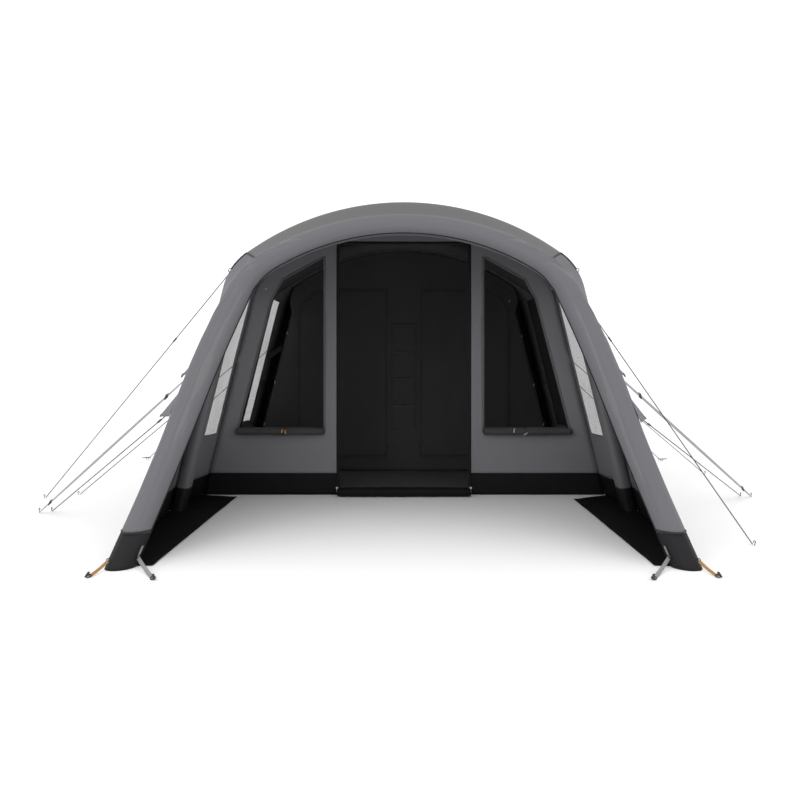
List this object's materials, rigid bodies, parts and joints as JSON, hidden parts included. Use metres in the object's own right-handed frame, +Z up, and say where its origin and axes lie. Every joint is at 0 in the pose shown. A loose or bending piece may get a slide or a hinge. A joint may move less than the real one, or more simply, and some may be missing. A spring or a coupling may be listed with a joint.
{
  "type": "inflatable tent",
  "caption": "Tunnel-shaped inflatable family tent: air beams, a raked open porch canopy, a front wall with doorway and windows, a hung bedroom and guy lines.",
  "frame": {"origin": "on the ground, in the middle of the tent's footprint, without its guy lines", "axes": "+Z up, +Y from the open porch to the rear wall, +X to the right as seen from the porch"},
  "size_m": [5.544, 6.4436, 2.16],
  "materials": {
    "beam": "smooth woven sleeve, light grey",
    "roof": "coated ripstop polyester, warm grey",
    "canopy": "coated polyester, mid grey",
    "wall": "coated polyester, dark grey",
    "mud": "coated polyester, black",
    "bedroom": "light-blocking breathable polyester, black",
    "groundsheet": "coated polyethylene weave, dark grey",
    "clear": "clear flexible sheet",
    "rope": "braided grey cord",
    "webbing": "woven grey webbing",
    "fitting": "moulded black plastic",
    "zip": "plated zip slider"
  },
  "bodies": {
    "tent": {"air_beam_canopy": "beam", "air_beam_porch": "beam", "air_beam_living": "beam", "air_beam_bedroom": "beam", "air_beam_rear": "beam", "roof": "roof", "side_left": "wall", "side_right": "wall", "mud_wall_left": "mud", "mud_wall_right": "mud", "porch_window_left": "clear", "porch_window_right": "clear", "living_window_left": "clear", "living_window_right": "clear", "rear_wall": "wall", "rear_mud_wall": "mud", "front_band": "canopy", "canopy_top": "roof", "canopy_wing_left": "canopy", "canopy_wing_right": "canopy", "band_foot_left": "mud", "band_foot_right": "mud", "front_wall": "wall", "front_mud_left": "mud", "front_mud_right": "mud", "window_roll_left": "wall", "window_roll_right": "wall", "door_roll": "bedroom", "porch_flap_left": "mud", "porch_flap_right": "mud", "groundsheet": "groundsheet", "bedroom_body": "bedroom", "bedroom_front": "bedroom", "organiser": "bedroom", "guy_porch_left": "rope", "guy_porch_right": "rope", "guy_canopy_left": "rope", "guy_canopy_right": "rope", "guy_living_left": "rope", "guy_living_right": "rope", "guy_bedroom_left": "rope", "guy_bedroom_right": "rope", "storm_strap_left": "webbing", "storm_strap_right": "webbing"},
    "door_zip_left": {"door_slider_left": "zip"},
    "door_zip_right": {"door_slider_right": "zip"},
    "bedroom_leaf_left": {"bedroom_door_left": "bedroom"},
    "bedroom_leaf_right": {"bedroom_door_right": "bedroom"},
    "cap_canopy": {"valve_cap_canopy": "fitting"},
    "cap_porch": {"valve_cap_porch": "fitting"},
    "cap_living": {"valve_cap_living": "fitting"},
    "cap_bedroom": {"valve_cap_bedroom": "fitting"},
    "cap_rear": {"valve_cap_rear": "fitting"},
    "runner_porch_l": {"runner_porch_left": "fitting"},
    "runner_porch_r": {"runner_porch_right": "fitting"},
    "runner_canopy_l": {"runner_canopy_left": "fitting"},
    "runner_canopy_r": {"runner_canopy_right": "fitting"},
    "runner_living_l": {"runner_living_left": "fitting"},
    "runner_living_r": {"runner_living_right": "fitting"}
  },
  "joints": [
    {"name": "door_zip_left_slide", "type": "slide", "parent": "tent", "child": "door_zip_left", "axis": [0, 0, 1], "range_m": [0, 1.8]},
    {"name": "door_zip_right_slide", "type": "slide", "parent": "tent", "child": "door_zip_right", "axis": [0, 0, 1], "range_m": [0, 1.8]},
    {"name": "bedroom_door_left_hinge", "type": "hinge", "parent": "tent", "child": "bedroom_leaf_left", "pos_m": [-0.165, 0.64557, 0.14], "axis": [0, 0, 1], "range_deg": [0, 90]},
    {"name": "bedroom_door_right_hinge", "type": "hinge", "parent": "tent", "child": "bedroom_leaf_right", "pos_m": [0.165, 0.64557, 0.14], "axis": [0, 0, -1], "range_deg": [0, 90]},
    {"name": "valve_cap_canopy_hinge", "type": "hinge", "parent": "tent", "child": "cap_canopy", "pos_m": [1.34772, -2.64601, 0.3161], "axis": [1, 0, 0], "range_deg": [0, 120]},
    {"name": "valve_cap_porch_hinge", "type": "hinge", "parent": "tent", "child": "cap_porch", "pos_m": [1.46819, -1.29413, 0.4395], "axis": [1, 0, 0], "range_deg": [0, 120]},
    {"name": "valve_cap_living_hinge", "type": "hinge", "parent": "tent", "child": "cap_living", "pos_m": [1.46819, 0.06587, 0.4395], "axis": [1, 0, 0], "range_deg": [0, 120]},
    {"name": "valve_cap_bedroom_hinge", "type": "hinge", "parent": "tent", "child": "cap_bedroom", "pos_m": [1.46819, 1.66587, 0.4395], "axis": [1, 0, 0], "range_deg": [0, 120]},
    {"name": "valve_cap_rear_hinge", "type": "hinge", "parent": "tent", "child": "cap_rear", "pos_m": [1.46819, 2.79527, 0.4395], "axis": [-1, 0, 0], "range_deg": [0, 120]},
    {"name": "runner_porch_left_slide", "type": "slide", "parent": "tent", "child": "runner_porch_l", "axis": [-0.6567, 0.2185, -0.7218], "range_m": [-0.5, 1.2]},
    {"name": "runner_porch_right_slide", "type": "slide", "parent": "tent", "child": "runner_porch_r", "axis": [0.3658, -0.5617, -0.7421], "range_m": [-0.2, 0.3]},
    {"name": "runner_canopy_left_slide", "type": "slide", "parent": "tent", "child": "runner_canopy_l", "axis": [-0.6644, 0.5945, -0.453], "range_m": [-0.1, 0.7]},
    {"name": "runner_canopy_right_slide", "type": "slide", "parent": "tent", "child": "runner_canopy_r", "axis": [0.5753, 0.7467, -0.3339], "range_m": [-0.15, 0.7]},
    {"name": "runner_living_left_slide", "type": "slide", "parent": "tent", "child": "runner_living_l", "axis": [-0.6718, -0.3903, -0.6295], "range_m": [-0.4, 0.8]},
    {"name": "runner_living_right_slide", "type": "slide", "parent": "tent", "child": "runner_living_r", "axis": [0.756, 0.261, -0.6002], "range_m": [-0.4, 0.8]}
  ]
}
